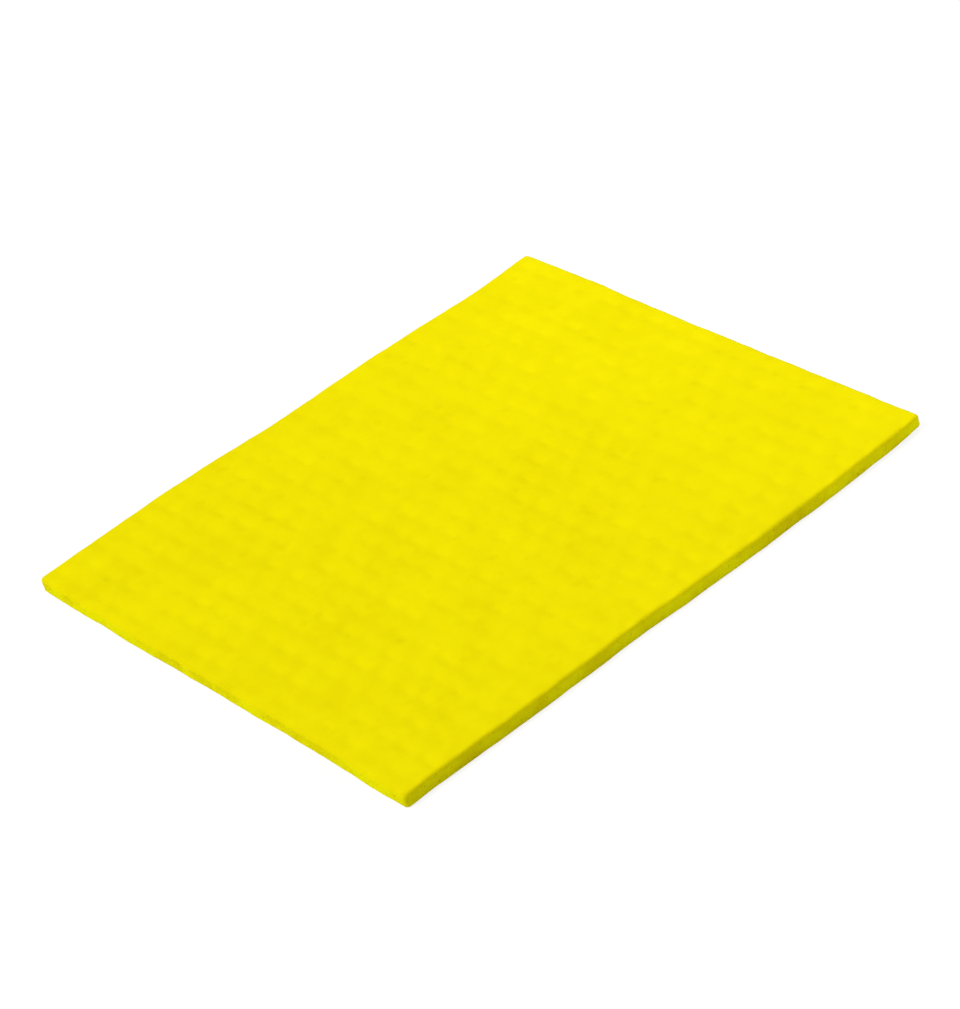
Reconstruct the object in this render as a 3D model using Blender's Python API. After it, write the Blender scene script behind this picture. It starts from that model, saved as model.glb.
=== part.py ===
"""A cellulose sponge cloth lying flat: one piece, with short dashes pressed into both of its faces.

It is made as such a cloth is made. A web larger than the cloth is embossed on both faces, and the
cloth is then cut out of it, so that dashes run off its long edges. Metres. +X runs along the cloth
and +Y across it, and it rests on z = 0, with its middle over the origin.
"""

import math

import bmesh
import bpy
from mathutils import Matrix

# The cloth as cut, and its thickness over the raised part of its faces
CLOTH_LENGTH = 0.200
CLOTH_WIDTH = 0.175
CLOTH_THICKNESS = 0.005
CORNER_RADIUS = 0.0015

# The dashes stand in columns that run across the cloth, and each column lies half a pitch further
# along Y than the one before it
COLUMN_PITCH = 0.00785
DASH_PITCH = 0.010
DASH_LENGTH = 0.008
DASH_WIDTH = 0.0034
DASH_DEPTH = 0.00035
FIRST_COLUMN_X = 0.0
FIRST_DASH_Y = 0.0025

# How the cloth is cut from the web
CUTTER_OVERRUN = 0.002
CORNER_SEGMENTS = 4

MERGE_DISTANCE = 1e-6
SMOOTH_BELOW = math.radians(40.0)

SPONGE_YELLOW = (0.863, 0.745, 0.0015, 1.0)
SPONGE_ROUGHNESS = 0.9


def clear_scene():
    for item in list(bpy.data.objects):
        bpy.data.objects.remove(item)


def new_collection(name):
    collection = bpy.data.collections.new(name)
    bpy.context.scene.collection.children.link(collection)
    return collection


def new_object(name, shape, collection):
    mesh = bpy.data.meshes.new(name)
    shape.to_mesh(mesh)
    shape.free()
    item = bpy.data.objects.new(name, mesh)
    collection.objects.link(item)
    return item


def box(length, width, low, high):
    """A closed box over the origin, from one height to another."""
    shape = bmesh.new()
    middle = Matrix.Translation((0.0, 0.0, (low + high) / 2))
    bmesh.ops.create_cube(shape, size=1.0, matrix=middle @ Matrix.Diagonal((length, width, high - low, 1.0)))
    return shape


def places(half_extent, first, pitch, half_mark):
    """Each number and centre in a row of marks that lies at least partly inside the cloth."""
    lowest = math.ceil((-half_extent - half_mark - first) / pitch)
    highest = math.floor((half_extent + half_mark - first) / pitch)
    return [(number, first + number * pitch) for number in range(lowest, highest + 1)]


def columns():
    return places(CLOTH_LENGTH / 2, FIRST_COLUMN_X, COLUMN_PITCH, DASH_WIDTH / 2)


def dashes_of(column_number):
    """The centres along Y of one column's dashes."""
    first = FIRST_DASH_Y + (column_number % 2) * DASH_PITCH / 2
    return [y for _, y in places(CLOTH_WIDTH / 2, first, DASH_PITCH, DASH_LENGTH / 2)]


def divide(shape, pieces, point, direction):
    """Draws a line round pieces of the shape, and returns all that they are now made of."""
    return bmesh.ops.bisect_plane(shape, geom=pieces, plane_co=point, plane_no=direction)["geom"]


def with_borders(faces):
    borders = [edge for face in faces for edge in face.edges]
    corners = [corner for face in faces for corner in face.verts]
    return list(dict.fromkeys([*faces, *borders, *corners]))


def draw_column_lines(web):
    for _, x in columns():
        for side in (x - DASH_WIDTH / 2, x + DASH_WIDTH / 2):
            divide(web, [*web.verts, *web.edges, *web.faces], (side, 0.0, 0.0), (1.0, 0.0, 0.0))
    web.normal_update()


def outline_dashes(web):
    """Marks off the dashes of each column on both faces of the web, and returns them."""
    found = []
    for number, x in columns():
        strips = [
            face
            for face in web.faces
            if abs(face.normal.z) > 0.5 and abs(face.calc_center_bounds().x - x) < DASH_WIDTH / 2
        ]
        pieces = with_borders(strips)
        centres = dashes_of(number)
        for y in centres:
            for end in (y - DASH_LENGTH / 2, y + DASH_LENGTH / 2):
                pieces = divide(web, pieces, (0.0, end, 0.0), (0.0, 1.0, 0.0))
        for face in (piece for piece in pieces if isinstance(piece, bmesh.types.BMFace)):
            if any(abs(face.calc_center_bounds().y - y) < DASH_LENGTH / 2 for y in centres):
                found.append(face)
    return found


def embossed_web():
    """The web, with each dash pressed in until the slopes from its sides meet in a short valley."""
    spare = DASH_LENGTH + DASH_WIDTH
    web = box(CLOTH_LENGTH + 2 * spare, CLOTH_WIDTH + 2 * spare, 0.0, CLOTH_THICKNESS)
    draw_column_lines(web)
    slope = min(DASH_WIDTH, DASH_LENGTH) / 2
    bmesh.ops.inset_individual(
        web,
        faces=outline_dashes(web),
        thickness=slope,
        depth=-DASH_DEPTH,
        use_even_offset=True,
    )
    bmesh.ops.remove_doubles(web, verts=web.verts, dist=MERGE_DISTANCE)
    return web


def cutting_shape():
    """The cloth's outline with its rounded corners, standing through the web."""
    shape = box(CLOTH_LENGTH, CLOTH_WIDTH, -CUTTER_OVERRUN, CLOTH_THICKNESS + CUTTER_OVERRUN)
    upright = [
        edge for edge in shape.edges if abs(edge.verts[0].co.z - edge.verts[1].co.z) > CLOTH_THICKNESS / 2
    ]
    bmesh.ops.bevel(
        shape,
        geom=upright,
        offset=CORNER_RADIUS,
        segments=CORNER_SEGMENTS,
        profile=0.5,
        affect="EDGES",
    )
    return shape


def sponge_material():
    material = bpy.data.materials.new("yellow_cellulose")
    material.use_nodes = True
    surface = material.node_tree.nodes["Principled BSDF"]
    surface.inputs["Base Color"].default_value = SPONGE_YELLOW
    surface.inputs["Roughness"].default_value = SPONGE_ROUGHNESS
    surface.inputs["Metallic"].default_value = 0.0
    return material


def build_cloth():
    cloth = new_object("sponge_cloth", embossed_web(), new_collection("cleaning_cloth"))
    outline = new_object("cloth_outline", cutting_shape(), new_collection("cutters"))
    outline.hide_render = True
    outline.display_type = "WIRE"

    cut = cloth.modifiers.new("cut from the web", "BOOLEAN")
    cut.operation = "INTERSECT"
    cut.object = outline
    facets = cloth.modifiers.new("even facets", "TRIANGULATE")
    facets.quad_method = "BEAUTY"
    facets.ngon_method = "BEAUTY"
    bpy.context.view_layer.objects.active = cloth
    for modifier in (cut, facets):
        bpy.ops.object.modifier_apply(modifier=modifier.name)

    cloth.data.shade_smooth()
    cloth.data.set_sharp_from_angle(angle=SMOOTH_BELOW)
    cloth.data.materials.append(sponge_material())
    return cloth


clear_scene()
build_cloth()
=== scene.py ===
import math

import bpy
import numpy as np
from bpy.props import FloatProperty, FloatVectorProperty, IntProperty, PointerProperty
from mathutils import Matrix, Quaternion, Vector


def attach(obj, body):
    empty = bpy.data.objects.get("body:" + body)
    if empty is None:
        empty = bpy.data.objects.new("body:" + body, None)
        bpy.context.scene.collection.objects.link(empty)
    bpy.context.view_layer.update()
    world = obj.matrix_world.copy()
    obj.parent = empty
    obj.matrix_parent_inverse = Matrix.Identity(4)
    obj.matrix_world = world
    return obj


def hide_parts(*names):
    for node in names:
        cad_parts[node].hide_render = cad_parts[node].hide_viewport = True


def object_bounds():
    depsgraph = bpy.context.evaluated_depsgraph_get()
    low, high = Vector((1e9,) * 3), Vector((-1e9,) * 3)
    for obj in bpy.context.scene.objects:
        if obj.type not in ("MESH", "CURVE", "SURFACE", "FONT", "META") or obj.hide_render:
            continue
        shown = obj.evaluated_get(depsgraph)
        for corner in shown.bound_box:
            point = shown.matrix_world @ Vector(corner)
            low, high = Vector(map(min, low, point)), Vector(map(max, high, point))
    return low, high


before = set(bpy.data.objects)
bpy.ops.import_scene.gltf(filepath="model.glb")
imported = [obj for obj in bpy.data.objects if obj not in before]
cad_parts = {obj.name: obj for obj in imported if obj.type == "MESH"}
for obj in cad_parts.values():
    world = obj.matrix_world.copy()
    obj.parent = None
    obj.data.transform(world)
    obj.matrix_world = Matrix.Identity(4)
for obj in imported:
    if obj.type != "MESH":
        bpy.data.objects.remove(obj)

bl_info = {
    "name": "Sponge Cloth",
    "version": (1, 0, 0),
    "blender": (4, 5, 0),
    "location": "3D View > Sidebar > Sponge Cloth",
    "description": "Makes an embossed cellulose sponge cloth lying flat, and the light stage it is shown on",
    "category": "Add Mesh",
}

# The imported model: its box, the node that the cloth stands for and the body that carries it
CAD_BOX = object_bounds()
CLOTH_NODE = "sponge_cloth"
CLOTH_BODY = "root"
CLOTH_SIZE = [high - low for low, high in zip(*CAD_BOX)]

CUT_SIDE = "cut_side"  # 1 on the cut sides, 0 on the faces

# The mesh's lines round each rim, in degrees, and the side of the plain slab that it starts from
RIM_TURNS = (0.0, 22.5, 45.0, 67.5, 90.0)
SLAB_SIDE = 2.0
OUTLINE_SHARE = 0.01  # points nearer to the outline than this share of the rim lie on the cut sides

# The sheet's slow waves: one that runs along and across it, and one that runs aslant
WAVE_ALONG, WAVE_ALONG_START = 0.26, 0.15
WAVE_ACROSS, WAVE_ACROSS_START = 0.35, -0.1
SLANT_ACROSS, SLANT_ALONG, SLANT_START = 0.21, 0.5, 0.3
MEAN_LIFT, WAVE_LIFT, SLANT_LIFT = 0.5, 0.3, 0.2

# The dip in the front long edge: its place along X, how far it runs along the edge and how far inwards
DIP_PLACE = 0.045
DIP_RUN = 0.03
DIP_REACH = 0.006

# Lengths of the chance waves in the cut edges, from the highest to the lowest
WANDER_LENGTHS = (0.028, 0.017, 0.010, 0.006)

# Grain of the lumps in the faces, each with its share of their height, and in the cut sides
FACE_GRAINS = ((0.006, 1.0), (0.0022, 0.5))
SIDE_GRAIN = 0.0016

# The faces' hollows, which are only painted as shade, and the sides' pores: the share of cells that hold
# one, and the widest in cells
FACE_PORES = {"share_open": 0.6, "widest": 0.40}
SIDE_PORES = {"share_open": 0.8, "widest": 0.5}

# How far the colour goes towards the deep one, on the plain cellulose and further in a pore, where the extra
# darkening is painted shade
PLAIN_DEPTH = 0.20
PAINTED_PORE_SHADE = 0.13
SIDE_MOTTLE = 3.0  # how many times more the mottle counts on the cut sides, besides its own strength
FIBRE_SHARE = 0.35  # how high the fibres stand, as a share of the pores' depth

# The floor: how far it lies under the cloth, and what the camera sees it reflect and glow
FLOOR_DROP = 0.0001
SEEN_FLOOR = (0.22, 0.22, 0.22)
SEEN_GLOW = 0.835

SENSOR_HEIGHT = 36.0


class SpongeClothShape(bpy.types.PropertyGroup):
    """The cloth's sizes, and how its faces and edges depart from the exact ones."""

    length: FloatProperty(
        name="Length",
        description="The cloth's size along X",
        default=CLOTH_SIZE[0],
        unit="LENGTH",
    )
    width: FloatProperty(
        name="Width",
        description="The cloth's size along Y",
        default=CLOTH_SIZE[1],
        unit="LENGTH",
    )
    thickness: FloatProperty(
        name="Thickness",
        description="The cloth's thickness over the raised part of its faces",
        default=CLOTH_SIZE[2],
        unit="LENGTH",
    )
    corner_radius: FloatProperty(
        name="Corner radius",
        description="Radius of the four corners, seen from above",
        default=0.0015,
        unit="LENGTH",
    )
    rim_radius: FloatProperty(
        name="Rim radius",
        description="Radius where the upper face turns over into the cut side",
        default=0.0012,
        unit="LENGTH",
    )
    foot_radius: FloatProperty(
        name="Foot radius",
        description="Radius where the underside, pulled in by the cutting, turns up into the cut side",
        default=0.0005,
        unit="LENGTH",
    )
    column_pitch: FloatProperty(
        name="Column pitch",
        description="From one column of dashes to the next, along X",
        default=0.00785,
        unit="LENGTH",
    )
    dash_pitch: FloatProperty(
        name="Dash pitch",
        description="From one dash to the next in its column, along Y",
        default=0.010,
        unit="LENGTH",
    )
    first_dash: FloatProperty(
        name="First dash",
        description="How far along Y from the middle of the cloth the middle column's first dash lies",
        default=0.0025,
        unit="LENGTH",
    )
    dash_length: FloatProperty(
        name="Dash length",
        description="Length of a dash along Y, where it is half as deep as in its middle",
        default=0.0068,
        unit="LENGTH",
    )
    dash_end: FloatProperty(
        name="Dash end",
        description="Length over which each end of a dash rises to the raised face",
        default=0.0030,
        unit="LENGTH",
    )
    dash_width: FloatProperty(
        name="Dash width",
        description="Width of a dash along X, with its soft shoulders",
        default=0.0064,
        unit="LENGTH",
    )
    dash_depth: FloatProperty(
        name="Dash depth",
        description="How deep the dashes are pressed into each face",
        default=0.00043,
        unit="LENGTH",
    )
    rim_fade: FloatProperty(
        name="Rim fade",
        description="Width of the band along the cut edges in which the dashes fade out",
        default=0.0024,
        unit="LENGTH",
    )
    press_variation: FloatProperty(
        name="Press variation",
        description="How much the dashes' depth differs, as a share of it",
        default=0.50,
        min=0.0,
        max=1.0,
        subtype="FACTOR",
    )
    waviness: FloatProperty(
        name="Waviness",
        description="How far the whole sheet lifts from the floor in its slow waves",
        default=0.0004,
        unit="LENGTH",
    )
    rim_dip: FloatProperty(
        name="Rim dip",
        description="How much thinner the cloth is where its front long edge is pressed",
        default=0.0002,
        unit="LENGTH",
    )
    corner_dip: FloatProperty(
        name="Corner dip",
        description="How much thinner the cloth is at its four corners",
        default=0.0004,
        unit="LENGTH",
    )
    corner_reach: FloatProperty(
        name="Corner reach",
        description="How far from a corner the cloth is thinner",
        default=0.010,
        unit="LENGTH",
    )
    corner_lift: FloatProperty(
        name="Corner lift",
        description="How far the right front corner's underside stands off the floor",
        default=0.0008,
        unit="LENGTH",
    )
    back_stray: FloatVectorProperty(
        name="Back stray",
        description="How far the back long edge lies outside its straight line, at even places along X",
        size=13,
        default=(
            -0.0002, 0.0000, 0.0007, 0.0011, 0.0010, 0.0001, -0.0002,
            0.0004, 0.0006, 0.0004, -0.0002, 0.0000, 0.0018,
        ),
        unit="LENGTH",
    )
    front_stray: FloatVectorProperty(
        name="Front stray",
        description="How far the front long edge lies outside its straight line, at even places along X",
        size=13,
        default=(
            0.0005, 0.0001, 0.0004, 0.0003, 0.0002, -0.0003, 0.0001,
            0.0004, 0.0005, 0.0003, 0.0001, -0.0005, -0.0013,
        ),
        unit="LENGTH",
    )
    left_stray: FloatVectorProperty(
        name="Left stray",
        description="How far the left end lies outside its straight line, at even places along Y",
        size=13,
        default=(
            0.0007, 0.0006, 0.0003, 0.0000, 0.0001, 0.0001, 0.0001,
            0.0001, 0.0004, 0.0004, 0.0002, 0.0002, 0.0000,
        ),
        unit="LENGTH",
    )
    right_stray: FloatVectorProperty(
        name="Right stray",
        description="How far the right end lies outside its straight line, at even places along Y",
        size=13,
        default=(
            0.0010, 0.0007, 0.0005, 0.0004, 0.0002, 0.0003, 0.0002,
            0.0002, 0.0003, 0.0006, 0.0008, 0.0006, 0.0004,
        ),
        unit="LENGTH",
    )
    edge_wander: FloatProperty(
        name="Edge wander",
        description="Size of the small chance waves in the cut edges",
        default=0.00008,
        unit="LENGTH",
    )
    unevenness: FloatProperty(
        name="Unevenness",
        description="Height of the small lumps in the faces",
        default=0.00008,
        unit="LENGTH",
    )
    side_roughness: FloatProperty(
        name="Side roughness",
        description="Height of the lumps and open pores in the cut sides",
        default=0.00035,
        unit="LENGTH",
    )
    lines_along: IntProperty(
        name="Lines along",
        description="Number of steps in the mesh between the rims along X",
        default=280,
        min=10,
    )
    lines_across: IntProperty(
        name="Lines across",
        description="Number of steps in the mesh between the rims along Y",
        default=140,
        min=10,
    )
    side_layers: IntProperty(
        name="Side layers",
        description="Number of steps in the mesh down the cut sides",
        default=8,
        min=2,
    )
    seed: IntProperty(
        name="Seed",
        description="Picks the cloth's chance differences",
        default=7,
        min=0,
    )


class SpongeClothFinish(bpy.types.PropertyGroup):
    """The colour and surface of the cellulose."""

    colour: FloatVectorProperty(
        name="Cloth colour",
        description="The dyed cellulose",
        default=(0.895, 0.789, 0.0012),
        subtype="COLOR",
        min=0.0,
        max=1.0,
    )
    # Deep colour: the dye's stronger patches, and also painted shade in the faces' hollows and the sides'
    # pores
    deep_dye_and_shade_colour: FloatVectorProperty(
        name="Deep colour",
        description="The same dye where it is deepest, in the pores and in the stronger patches",
        default=(0.70, 0.58, 0.0008),
        subtype="COLOR",
        min=0.0,
        max=1.0,
    )
    # A slightly greener colour on the cut sides than on the faces
    cut_colour: FloatVectorProperty(
        name="Cut colour",
        description="The slightly greener cellulose that the cut sides lay open",
        default=(0.885, 0.845, 0.0012),
        subtype="COLOR",
        min=0.0,
        max=1.0,
    )
    roughness: FloatProperty(
        name="Roughness",
        description="Roughness of the dry cellulose",
        default=0.95,
        min=0.0,
        max=1.0,
        subtype="FACTOR",
    )
    gloss: FloatProperty(
        name="Gloss",
        description="Strength of the cellulose's own reflection",
        default=0.01,
        min=0.0,
        max=1.0,
        subtype="FACTOR",
    )
    # The soft hollows are not in the mesh or the bump: they are only painted darker, as painted shade
    pore_spacing: FloatProperty(
        name="Pore spacing",
        description="Distance between the soft hollows in a face",
        default=0.0052,
        unit="LENGTH",
    )
    side_pore_spacing: FloatProperty(
        name="Side pore spacing",
        description="Distance between the pores that the cut sides lay open",
        default=0.0012,
        unit="LENGTH",
    )
    fibre_spacing: FloatProperty(
        name="Fibre spacing",
        description="Distance between the short fibres in the cellulose",
        default=0.00035,
        unit="LENGTH",
    )
    mottle: FloatProperty(
        name="Mottle",
        description="How unevenly the cellulose has taken up the dye",
        default=0.62,
        min=0.0,
    )
    mottle_spacing: FloatProperty(
        name="Mottle spacing",
        description="Distance between the widest patches of stronger dye",
        default=0.014,
        unit="LENGTH",
    )
    pore_relief: FloatProperty(
        name="Pore relief",
        description="Height of the bump that the pores and fibres make",
        default=0.00012,
        unit="LENGTH",
    )


class SpongeClothStage(bpy.types.PropertyGroup):
    """The floor, the light and the camera."""

    floor_size: FloatProperty(
        name="Floor size",
        description="Side of the square floor",
        default=1.2,
        unit="LENGTH",
    )
    floor_colour: FloatVectorProperty(
        name="Floor colour",
        description="The pale floor, as it lights the cloth",
        default=(0.80, 0.80, 0.80),
        subtype="COLOR",
        min=0.0,
        max=1.0,
    )
    sky_strength: FloatProperty(
        name="Sky strength",
        description="Light that comes from all round",
        default=0.11,
        min=0.0,
    )
    key_place: FloatVectorProperty(
        name="Key place",
        description="Where the large lamp hangs, on the side of the cloth's left end",
        default=(-1.46, 0.43, 1.94),
        subtype="TRANSLATION",
    )
    key_size: FloatProperty(
        name="Key size",
        description="Side of the large lamp",
        default=1.0,
        unit="LENGTH",
    )
    key_power: FloatProperty(
        name="Key power",
        description="Power of the large lamp",
        default=49.7,
        subtype="POWER",
        min=0.0,
    )
    front_place: FloatVectorProperty(
        name="Front lamp place",
        description="Where the small lamp hangs that lights the right end and the front side",
        default=(0.35, -0.50, 0.34),
        subtype="TRANSLATION",
    )
    front_power: FloatProperty(
        name="Front lamp power",
        description="Power of the front lamp",
        default=1.06,
        subtype="POWER",
        min=0.0,
    )
    back_place: FloatVectorProperty(
        name="Back lamp place",
        description="Where the small lamp hangs that lights the right end and the back corner",
        default=(0.41, 0.20, 0.40),
        subtype="TRANSLATION",
    )
    back_power: FloatProperty(
        name="Back lamp power",
        description="Power of the back lamp",
        default=1.18,
        subtype="POWER",
        min=0.0,
    )
    small_lamp_size: FloatProperty(
        name="Small lamp size",
        description="Side of the front lamp and of the back lamp",
        default=0.2,
        unit="LENGTH",
    )
    camera_azimuth: FloatProperty(
        name="Camera azimuth",
        description="Where the camera stands round the cloth, from the side of its front long edge",
        default=math.radians(-32.24),
        subtype="ANGLE",
    )
    camera_elevation: FloatProperty(
        name="Camera elevation",
        description="How high the camera stands over the floor",
        default=math.radians(33.92),
        subtype="ANGLE",
    )
    camera_roll: FloatProperty(
        name="Camera roll",
        description="How far the camera is turned about its own axis",
        default=math.radians(-15.28),
        subtype="ANGLE",
    )
    camera_distance: FloatProperty(
        name="Camera distance",
        description="From the camera to the point on the cloth that it looks at",
        default=1.0932,
        unit="LENGTH",
    )
    camera_aim: FloatVectorProperty(
        name="Camera aim",
        description="The point that the camera looks at",
        default=(0.0031, 0.0017, 0.0),
        subtype="TRANSLATION",
    )
    camera_lens: FloatProperty(
        name="Camera lens",
        description="Focal length on a sensor that is 36 mm high",
        default=132.2,
        unit="CAMERA",
    )


# Steps that any piece could share


def deselect_all():
    if bpy.context.object and bpy.context.object.mode != "OBJECT":
        bpy.ops.object.mode_set(mode="OBJECT")
    bpy.ops.object.select_all(action="DESELECT")


def make_active(piece):
    deselect_all()
    piece.select_set(True)
    bpy.context.view_layer.objects.active = piece


def points_of(mesh):
    points = np.empty(len(mesh.vertices) * 3, np.float32)
    mesh.vertices.foreach_get("co", points)
    return points.reshape(-1, 3).astype(float)


def set_points(mesh, points):
    mesh.vertices.foreach_set("co", points.astype(np.float32).ravel())
    mesh.update()


def point_attribute(mesh, name, values):
    attribute = mesh.attributes.new(name, "FLOAT", "POINT")
    attribute.data.foreach_set("value", values.astype(np.float32))


def smooth_step(share):
    share = np.clip(share, 0.0, 1.0)
    return share * share * (3.0 - 2.0 * share)


# The cloth


def rim_steps(shape):
    """Distances of the mesh's first lines from the outline, even in angle round the rim."""
    return shape.rim_radius * (1.0 - np.cos(np.radians(RIM_TURNS)))


def line_places(shape, extent, steps_between):
    """Places of the mesh's lines across an extent: close together at both rims, even between them."""
    near_rim = rim_steps(shape)
    inner = extent / 2 - near_rim[-1]
    between = np.linspace(-inner, inner, steps_between + 1)
    return np.concatenate([near_rim[:-1] - extent / 2, between, extent / 2 - near_rim[-2::-1]])


def add_plain_slab(shape, columns, rows):
    """A square slab in even steps, one unit thick, with its cut sides in layers."""
    deselect_all()
    bpy.ops.mesh.primitive_grid_add(x_subdivisions=columns, y_subdivisions=rows, size=SLAB_SIDE)
    slab = bpy.context.object
    bpy.ops.object.mode_set(mode="EDIT")
    bpy.ops.mesh.select_all(action="SELECT")
    for _ in range(shape.side_layers):
        bpy.ops.mesh.extrude_region_move(
            TRANSFORM_OT_translate={"value": (0.0, 0.0, 1.0 / shape.side_layers)}
        )
    bpy.ops.mesh.select_all(action="SELECT")
    bpy.ops.mesh.normals_make_consistent(inside=False)
    bpy.ops.object.mode_set(mode="OBJECT")
    return slab


def from_outline(shape, x, y):
    """How far each point of the plan lies inside the cloth's nearest edge."""
    return np.minimum(shape.length / 2 - np.abs(x), shape.width / 2 - np.abs(y))


def dash_press(shape, x, y, depths):
    """How deep each point lies in a dash, from 0 on the raised face to about 1 in the valley."""
    column = np.rint(x / shape.column_pitch).astype(int)
    first = shape.first_dash + (column % 2) * shape.dash_pitch / 2
    row = np.rint((y - first) / shape.dash_pitch).astype(int)
    across = np.abs(x - column * shape.column_pitch)
    along = np.abs(y - first - row * shape.dash_pitch)
    in_width = smooth_step(1.0 - across / (shape.dash_width / 2))
    in_length = smooth_step(0.5 + (shape.dash_length / 2 - along) / shape.dash_end)
    off_rim = smooth_step(from_outline(shape, x, y) / shape.rim_fade)
    middle = depths.shape[0] // 2
    return in_width * in_length * off_rim * depths[column + middle, row + middle]


def dash_depths(shape, chance):
    """The depth of every dash that the cloth could hold, as a share of the set depth."""
    most = 2 * math.ceil(max(shape.length, shape.width) / min(shape.column_pitch, shape.dash_pitch))
    return 1.0 + shape.press_variation * chance.uniform(-1.0, 1.0, (most, most))


def turned_over(inside, radius):
    """How far a face has turned towards the cut side, at each distance inside the outline."""
    round_part = np.clip(1.0 - inside / radius, 0.0, 1.0)
    return radius * (1.0 - np.sqrt(1.0 - round_part**2))


def slow_wave(shape, x, y):
    """The lift of a sheet that has dried almost flat, never less than nothing."""
    along = np.sin(2 * math.pi * (x / WAVE_ALONG + WAVE_ALONG_START))
    across = np.cos(2 * math.pi * (y / WAVE_ACROSS + WAVE_ACROSS_START))
    aslant = np.sin(2 * math.pi * (y / SLANT_ACROSS + x / SLANT_ALONG + SLANT_START))
    return shape.waviness * (MEAN_LIFT + WAVE_LIFT * along * across + SLANT_LIFT * aslant)


def wander(place, chance, reach):
    """Small waves along an edge, each of chance phase and as high as its share of the longest."""
    waves = [
        length * np.sin(2 * math.pi * (place / length + chance.uniform())) for length in WANDER_LENGTHS
    ]
    return reach * sum(waves) / WANDER_LENGTHS[0]


def smooth_through(values, share):
    """A smooth curve through even stations, at a share from 0 to 1 of the way along them."""
    stations = np.pad(np.array(values), 1, mode="edge")
    place = np.clip(share, 0.0, 1.0) * (len(values) - 1)
    start = np.minimum(place.astype(int), len(values) - 2)
    part = place - start
    before, here, there, after = (stations[start + step] for step in range(4))
    rest = 1.0 - part
    return (
        here * (1.0 + 2.0 * part) * rest**2
        + there * (3.0 - 2.0 * part) * part**2
        + (there - before) / 2 * part * rest**2
        - (after - here) / 2 * rest * part**2
    )


def stray_of_sides(place, extent, low_side, high_side, on_high, chance, reach):
    """How far outwards two opposite edges lie at each place along them."""
    share = place / extent + 0.5
    low = smooth_through(low_side, share) + wander(place, chance, reach)
    high = smooth_through(high_side, share) + wander(place, chance, reach)
    return np.where(on_high, high, -low)


def round_corners(shape, x, y):
    """Draws the square corners of the plan in to their radius."""
    past_x = np.maximum(np.abs(x) - (shape.length / 2 - shape.corner_radius), 0.0)
    past_y = np.maximum(np.abs(y) - (shape.width / 2 - shape.corner_radius), 0.0)
    far = np.hypot(past_x, past_y)
    keep = np.divide(np.maximum(past_x, past_y), far, out=np.ones_like(far), where=far > 0)
    return x - np.sign(x) * past_x * (1.0 - keep), y - np.sign(y) * past_y * (1.0 - keep)


def nearest_line(lines, place_on_slab):
    """Where the mesh's lines put each point of the plain slab."""
    return lines[np.rint((place_on_slab / SLAB_SIDE + 0.5) * (len(lines) - 1)).astype(int)]


def thinner_places(shape, x, y):
    """How much of its thickness the cloth has lost, in the front edge's dip and at the corners."""
    along_edge = np.exp(-(((x - DIP_PLACE) / DIP_RUN) ** 2))
    inwards = np.exp(-((y + shape.width / 2) / DIP_REACH))
    from_corner = np.hypot(shape.length / 2 - np.abs(x), shape.width / 2 - np.abs(y))
    at_corners = np.exp(-from_corner / shape.corner_reach)
    return shape.rim_dip * along_edge * inwards + shape.corner_dip * at_corners


def embossed_faces(shape, x, y, chance):
    """Heights of the upper face and of the underside at each point of the plan."""
    top_press = dash_press(shape, x, y, dash_depths(shape, chance))
    bottom_press = dash_press(shape, x, y, dash_depths(shape, chance))
    inside = from_outline(shape, x, y)
    wave = slow_wave(shape, x, y)
    top = shape.thickness + wave - shape.dash_depth * top_press - thinner_places(shape, x, y)
    top = top - turned_over(inside, shape.rim_radius)
    from_raised = np.hypot(shape.length / 2 - x, shape.width / 2 + y)
    lift = wave + shape.corner_lift * np.exp(-from_raised / shape.corner_reach)
    bottom = lift + shape.dash_depth * bottom_press + turned_over(inside, shape.foot_radius)
    return top, bottom


def strayed_plan(shape, x, y, chance):
    """The plan with rounded corners and strayed edges. Each stray dies out halfway to the middle."""
    reach = shape.edge_wander
    stray_y = stray_of_sides(x, shape.length, shape.front_stray, shape.back_stray, y > 0, chance, reach)
    stray_x = stray_of_sides(y, shape.width, shape.left_stray, shape.right_stray, x > 0, chance, reach)
    plan_x, plan_y = round_corners(shape, x, y)
    plan_x = plan_x + stray_x * smooth_step(4.0 * np.abs(x) / shape.length - 1.0)
    plan_y = plan_y + stray_y * smooth_step(4.0 * np.abs(y) / shape.width - 1.0)
    return plan_x, plan_y


def shape_cloth(slab, shape):
    """Moves the plain slab's points to the cloth's, and returns which lie on its cut sides."""
    chance = np.random.RandomState(shape.seed)
    plain = points_of(slab.data)
    x = nearest_line(line_places(shape, shape.length, shape.lines_along), plain[:, 0])
    y = nearest_line(line_places(shape, shape.width, shape.lines_across), plain[:, 1])
    top, bottom = embossed_faces(shape, x, y, chance)
    z = bottom + (top - bottom) * plain[:, 2]
    plan_x, plan_y = strayed_plan(shape, x, y, chance)
    set_points(slab.data, np.column_stack([plan_x, plan_y, z - z.min()]))

    on_side = from_outline(shape, x, y) < OUTLINE_SHARE * shape.rim_radius
    point_attribute(slab.data, CUT_SIDE, on_side.astype(float))
    return on_side


def roughen(piece, grain, height, group):
    """Raises and sinks a group of the piece's points by a cloud of the given grain."""
    cloud = bpy.data.textures.new(f"grain {grain * 1000:.1f} mm", "CLOUDS")
    cloud.noise_scale = grain
    rough = piece.modifiers.new(cloud.name, "DISPLACE")
    rough.texture = cloud
    rough.texture_coords = "LOCAL"
    rough.strength = height
    rough.mid_level = 0.5
    rough.vertex_group = group
    make_active(piece)
    bpy.ops.object.modifier_apply(modifier=rough.name)


def group_of(piece, name, chosen):
    """Names a group of points of the piece, and returns the name."""
    piece.vertex_groups.new(name=name).add(np.flatnonzero(chosen).tolist(), 1.0, "REPLACE")
    return name


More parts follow.
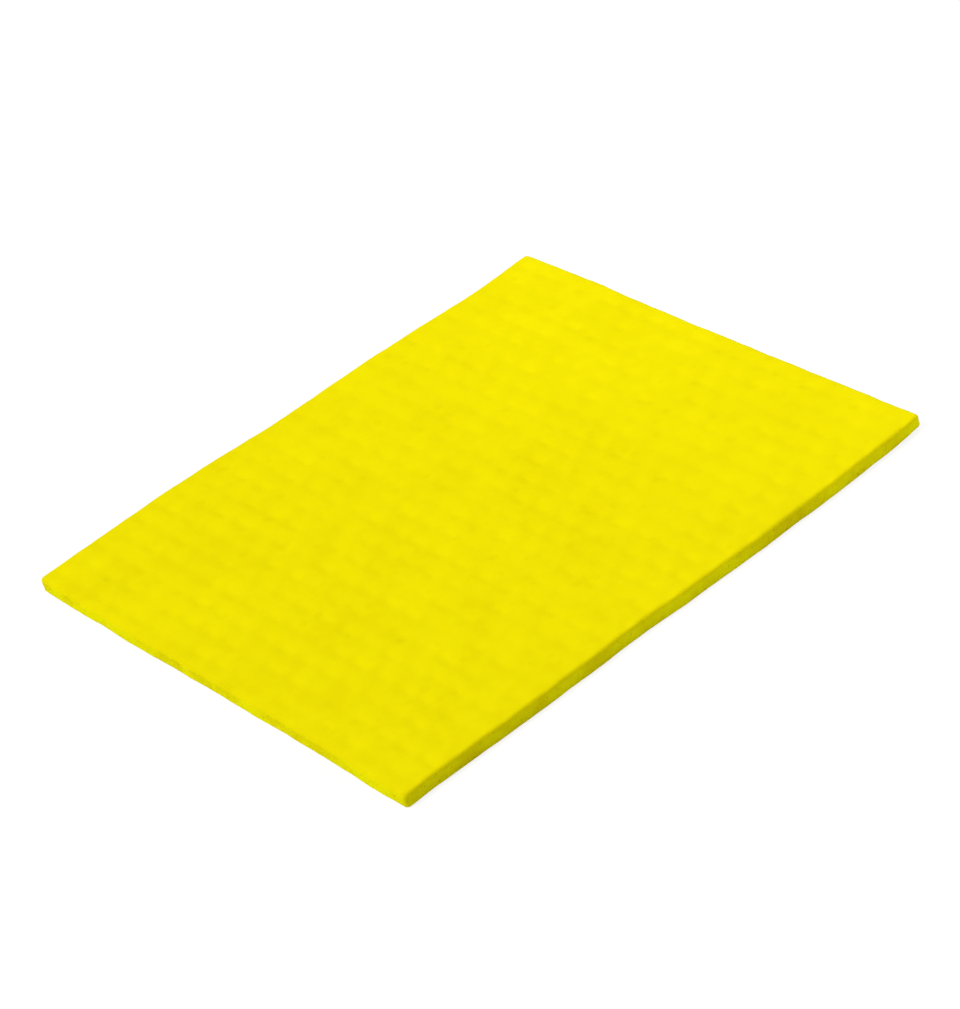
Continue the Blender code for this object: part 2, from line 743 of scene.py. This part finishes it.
class SPONGECLOTH_OT_cloth(bpy.types.Operator):
    """Make the cloth: a thin slab that is embossed on both faces, with soft rims and rough cut sides"""

    bl_idname = "sponge_cloth.cloth"
    bl_label = "Sponge Cloth"
    bl_options = {"REGISTER", "UNDO"}

    def execute(self, context):
        shape = context.scene.sponge_cloth_shape
        columns = len(line_places(shape, shape.length, shape.lines_along)) - 1
        rows = len(line_places(shape, shape.width, shape.lines_across)) - 1
        cloth = add_plain_slab(shape, columns, rows)
        cloth.name = cloth.data.name = "embossed_cloth"
        on_side = shape_cloth(cloth, shape)
        upper = points_of(cloth.data)[:, 2] > shape.thickness / 2
        faces = group_of(cloth, "upper face", upper & ~on_side)
        sides = group_of(cloth, "cut sides", on_side)
        for grain, share in FACE_GRAINS:
            roughen(cloth, grain, shape.unevenness * share, faces)
        roughen(cloth, SIDE_GRAIN, shape.side_roughness, sides)
        make_active(cloth)
        bpy.ops.object.shade_smooth()
        cloth.data.materials.clear()
        cloth.data.materials.append(cellulose_material(context.scene.sponge_cloth_finish))
        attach(cloth, CLOTH_BODY)
        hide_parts(CLOTH_NODE)
        return {"FINISHED"}


# Finishes


def node(tree, kind, **settings):
    """Adds a node and sets its attributes."""
    made = tree.nodes.new(kind)
    for name, value in settings.items():
        setattr(made, name, value)
    return made


def link(tree, start, end):
    tree.links.new(start, end)


def noise(tree, place, spacing, detail, roughness=0.5, distortion=0.0):
    made = node(tree, "ShaderNodeTexNoise")
    made.inputs["Scale"].default_value = 1.0 / spacing
    made.inputs["Detail"].default_value = detail
    made.inputs["Roughness"].default_value = roughness
    made.inputs["Distortion"].default_value = distortion
    link(tree, place, made.inputs["Vector"])
    return made.outputs["Fac"]


def math_node(tree, operation, *values, clamp=False):
    """One step of arithmetic on values that are each a number or an output."""
    made = node(tree, "ShaderNodeMath", operation=operation, use_clamp=clamp)
    for value, socket in zip(values, made.inputs):
        if isinstance(value, (int, float)):
            socket.default_value = value
        else:
            link(tree, value, socket)
    return made.outputs["Value"]


def in_range(tree, value, low, high):
    """The value as a smooth share of the way from low to high."""
    made = node(tree, "ShaderNodeMapRange", interpolation_type="SMOOTHSTEP")
    made.inputs["From Min"].default_value = low
    made.inputs["From Max"].default_value = high
    link(tree, value, made.inputs["Value"])
    return made.outputs["Result"]


# The Mix node's sockets for colours, which share their names with those for numbers
COLOUR_A, COLOUR_B, MIXED_COLOUR = 6, 7, 2


def mix_colours(tree, share, first, second):
    """A colour between two that are each a plain colour or an output."""
    made = node(tree, "ShaderNodeMix", data_type="RGBA")
    link(tree, share, made.inputs["Factor"])
    for colour, socket in ((first, COLOUR_A), (second, COLOUR_B)):
        if isinstance(colour, bpy.types.NodeSocket):
            link(tree, colour, made.inputs[socket])
        else:
            made.inputs[socket].default_value = (*colour, 1.0)
    return made.outputs[MIXED_COLOUR]


def pores(tree, place, spacing, share_open, widest):
    """Round pores of chance size: 1 in the middle of a pore, 0 on the cellulose between them."""
    cells = node(tree, "ShaderNodeTexVoronoi", feature="F1")
    cells.inputs["Scale"].default_value = 1.0 / spacing
    cells.inputs["Randomness"].default_value = 1.0
    link(tree, place, cells.inputs["Vector"])
    chance = node(tree, "ShaderNodeSeparateColor")
    link(tree, cells.outputs["Color"], chance.inputs["Color"])
    size = in_range(tree, chance.outputs["Red"], 1.0 - share_open, 1.0)
    radius = math_node(tree, "MULTIPLY", size, widest)
    edge = math_node(tree, "SUBTRACT", radius, cells.outputs["Distance"])
    return in_range(tree, edge, 0.0, widest / 2)


def cellulose_material(finish):
    """Dry dyed cellulose: soft hollows and short fibres on the faces, open pores on the cut sides. The
    hollows are only painted shade; the pores are bumped and also darkened with painted shade.
    """
    material = bpy.data.materials.new("yellow cellulose")
    material.use_nodes = True
    tree = material.node_tree
    surface = tree.nodes["Principled BSDF"]
    place = node(tree, "ShaderNodeTexCoord").outputs["Object"]
    cut_side = node(tree, "ShaderNodeAttribute", attribute_name=CUT_SIDE).outputs["Fac"]

    face_hollow_shade = pores(tree, place, finish.pore_spacing, **FACE_PORES)
    side_pores = pores(tree, place, finish.side_pore_spacing, **SIDE_PORES)
    side_pores = math_node(tree, "MULTIPLY", side_pores, cut_side)
    # Painted shade: the hollows and pores, which darken the colour below
    pore_shade_mask = math_node(tree, "MAXIMUM", face_hollow_shade, side_pores)
    fibres = noise(tree, place, finish.fibre_spacing, detail=3.0, roughness=0.6, distortion=0.6)
    dye = noise(tree, place, finish.mottle_spacing, detail=2.0, roughness=0.7)
    patches = math_node(tree, "SUBTRACT", dye, 0.5)
    mottle = math_node(tree, "MULTIPLY_ADD", cut_side, SIDE_MOTTLE * finish.mottle, finish.mottle)

    # The pull towards the deep colour: the plain tone, painted shade in the hollows and pores, then the
    # dye's own patches
    depth = math_node(tree, "MULTIPLY_ADD", pore_shade_mask, PAINTED_PORE_SHADE, PLAIN_DEPTH)
    depth = math_node(tree, "ADD", depth, math_node(tree, "MULTIPLY", patches, mottle), clamp=True)
    # The cut sides take the slightly greener colour
    cut = mix_colours(tree, cut_side, finish.colour, finish.cut_colour)
    colour = mix_colours(tree, depth, cut, finish.deep_dye_and_shade_colour)
    link(tree, colour, surface.inputs["Base Color"])

    relief = math_node(tree, "SUBTRACT", math_node(tree, "MULTIPLY", fibres, FIBRE_SHARE), side_pores)
    bump = node(tree, "ShaderNodeBump")
    bump.inputs["Distance"].default_value = finish.pore_relief
    bump.inputs["Strength"].default_value = 1.0
    link(tree, relief, bump.inputs["Height"])
    link(tree, bump.outputs["Normal"], surface.inputs["Normal"])

    surface.inputs["Roughness"].default_value = finish.roughness
    surface.inputs["Specular IOR Level"].default_value = finish.gloss
    surface.inputs["Metallic"].default_value = 0.0
    return material


def seen_ray(tree):
    """1 for what the camera sees, also in a reflection or through glass, and 0 for light on the cloth."""
    rays = node(tree, "ShaderNodeLightPath").outputs
    seen = math_node(tree, "MAXIMUM", rays["Is Camera Ray"], rays["Is Glossy Ray"])
    return math_node(tree, "MAXIMUM", seen, rays["Is Transmission Ray"])


def floor_material(colour):
    """A pale floor that the camera sees as white, with the cloth's soft shadow on it."""
    material = bpy.data.materials.new("pale floor")
    material.use_nodes = True
    tree = material.node_tree
    tree.nodes.remove(tree.nodes["Principled BSDF"])
    output = tree.nodes["Material Output"]
    plain = node(tree, "ShaderNodeBsdfDiffuse")
    plain.inputs["Color"].default_value = (*colour, 1.0)
    seen = node(tree, "ShaderNodeBsdfDiffuse")
    seen.inputs["Color"].default_value = (*SEEN_FLOOR, 1.0)
    glow = node(tree, "ShaderNodeEmission")
    glow.inputs["Color"].default_value = (1.0, 1.0, 1.0, 1.0)
    glow.inputs["Strength"].default_value = SEEN_GLOW
    white = node(tree, "ShaderNodeAddShader")
    link(tree, seen.outputs["BSDF"], white.inputs[0])
    link(tree, glow.outputs["Emission"], white.inputs[1])
    choice = node(tree, "ShaderNodeMixShader")
    link(tree, seen_ray(tree), choice.inputs["Fac"])
    link(tree, plain.outputs["BSDF"], choice.inputs[1])
    link(tree, white.outputs["Shader"], choice.inputs[2])
    link(tree, choice.outputs["Shader"], output.inputs["Surface"])
    return material


# The stage


def set_world(strength):
    """White as the camera sees it, and dimmer as a light."""
    world = bpy.data.worlds.new("plain light")
    bpy.context.scene.world = world
    world.use_nodes = True
    tree = world.node_tree
    backdrop = tree.nodes["Background"]
    backdrop.inputs["Color"].default_value = (1.0, 1.0, 1.0, 1.0)
    level = node(tree, "ShaderNodeMapRange")
    level.inputs["To Min"].default_value = strength
    level.inputs["To Max"].default_value = 1.0
    link(tree, seen_ray(tree), level.inputs["Value"])
    link(tree, level.outputs["Result"], backdrop.inputs["Strength"])


def add_lamp(name, place, side, power):
    """A square lamp of soft light that faces the cloth and that the camera doesn't see."""
    deselect_all()
    bpy.ops.object.light_add(type="AREA", location=place)
    lamp = bpy.context.object
    lamp.name = lamp.data.name = name
    lamp.data.shape = "SQUARE"
    lamp.data.size = side
    lamp.data.energy = power
    lamp.rotation_euler = Vector(place).to_track_quat("Z", "Y").to_euler()
    lamp.visible_camera = False


def add_camera(stage):
    """A camera that looks at its aim from its distance, turned about its own axis."""
    azimuth, elevation = stage.camera_azimuth, stage.camera_elevation
    over_floor = math.cos(elevation)
    away = Vector((math.sin(azimuth) * over_floor, -math.cos(azimuth) * over_floor, math.sin(elevation)))
    turn = away.to_track_quat("Z", "Y") @ Quaternion((0.0, 0.0, 1.0), stage.camera_roll)
    deselect_all()
    bpy.ops.object.camera_add()
    camera = bpy.context.object
    camera.name = "photo view"
    place = Vector(stage.camera_aim) + away * stage.camera_distance
    camera.matrix_world = Matrix.Translation(place) @ turn.to_matrix().to_4x4()
    camera.data.sensor_fit = "VERTICAL"
    camera.data.sensor_height = SENSOR_HEIGHT
    camera.data.lens = stage.camera_lens
    bpy.context.scene.camera = camera


class SPONGECLOTH_OT_stage(bpy.types.Operator):
    """Make the pale floor, the plain soft light and the camera"""

    bl_idname = "sponge_cloth.stage"
    bl_label = "Stage"
    bl_options = {"REGISTER", "UNDO"}

    def execute(self, context):
        stage = context.scene.sponge_cloth_stage
        deselect_all()
        bpy.ops.mesh.primitive_plane_add(size=stage.floor_size, location=(0.0, 0.0, -FLOOR_DROP))
        floor = context.object
        bpy.ops.object.transform_apply(location=True, rotation=True, scale=True)
        floor.name = floor.data.name = "floor"
        floor.data.materials.append(floor_material(stage.floor_colour))
        set_world(stage.sky_strength)
        add_lamp("key lamp", stage.key_place, stage.key_size, stage.key_power)
        add_lamp("front lamp", stage.front_place, stage.small_lamp_size, stage.front_power)
        add_lamp("back lamp", stage.back_place, stage.small_lamp_size, stage.back_power)
        add_camera(stage)
        context.scene.view_settings.view_transform = "Standard"
        return {"FINISHED"}


class SPONGECLOTH_PT_panel(bpy.types.Panel):
    """Lists the cloth's sizes and finish and the stage's settings, with the operators that use them"""

    bl_idname = "SPONGECLOTH_PT_panel"
    bl_label = "Sponge Cloth"
    bl_space_type = "VIEW_3D"
    bl_region_type = "UI"
    bl_category = "Sponge Cloth"

    def draw(self, context):
        for title, group_name in (
            ("Shape", "sponge_cloth_shape"),
            ("Finish", "sponge_cloth_finish"),
            ("Stage", "sponge_cloth_stage"),
        ):
            box = self.layout.box()
            box.label(text=title)
            group = getattr(context.scene, group_name)
            for name in group.__annotations__:
                box.prop(group, name)
        for operator in OPERATORS:
            self.layout.operator(operator.bl_idname)


GROUPS = {
    "sponge_cloth_shape": SpongeClothShape,
    "sponge_cloth_finish": SpongeClothFinish,
    "sponge_cloth_stage": SpongeClothStage,
}
OPERATORS = (SPONGECLOTH_OT_cloth, SPONGECLOTH_OT_stage)


def register():
    for name, group in GROUPS.items():
        bpy.utils.register_class(group)
        setattr(bpy.types.Scene, name, PointerProperty(type=group))
    for operator in OPERATORS:
        bpy.utils.register_class(operator)
    bpy.utils.register_class(SPONGECLOTH_PT_panel)


def unregister():
    bpy.utils.unregister_class(SPONGECLOTH_PT_panel)
    for operator in reversed(OPERATORS):
        bpy.utils.unregister_class(operator)
    for name, group in reversed(GROUPS.items()):
        delattr(bpy.types.Scene, name)
        bpy.utils.unregister_class(group)


def main():
    register()
    bpy.ops.sponge_cloth.cloth()
    bpy.ops.sponge_cloth.stage()


if __name__ == "__main__":
    main()
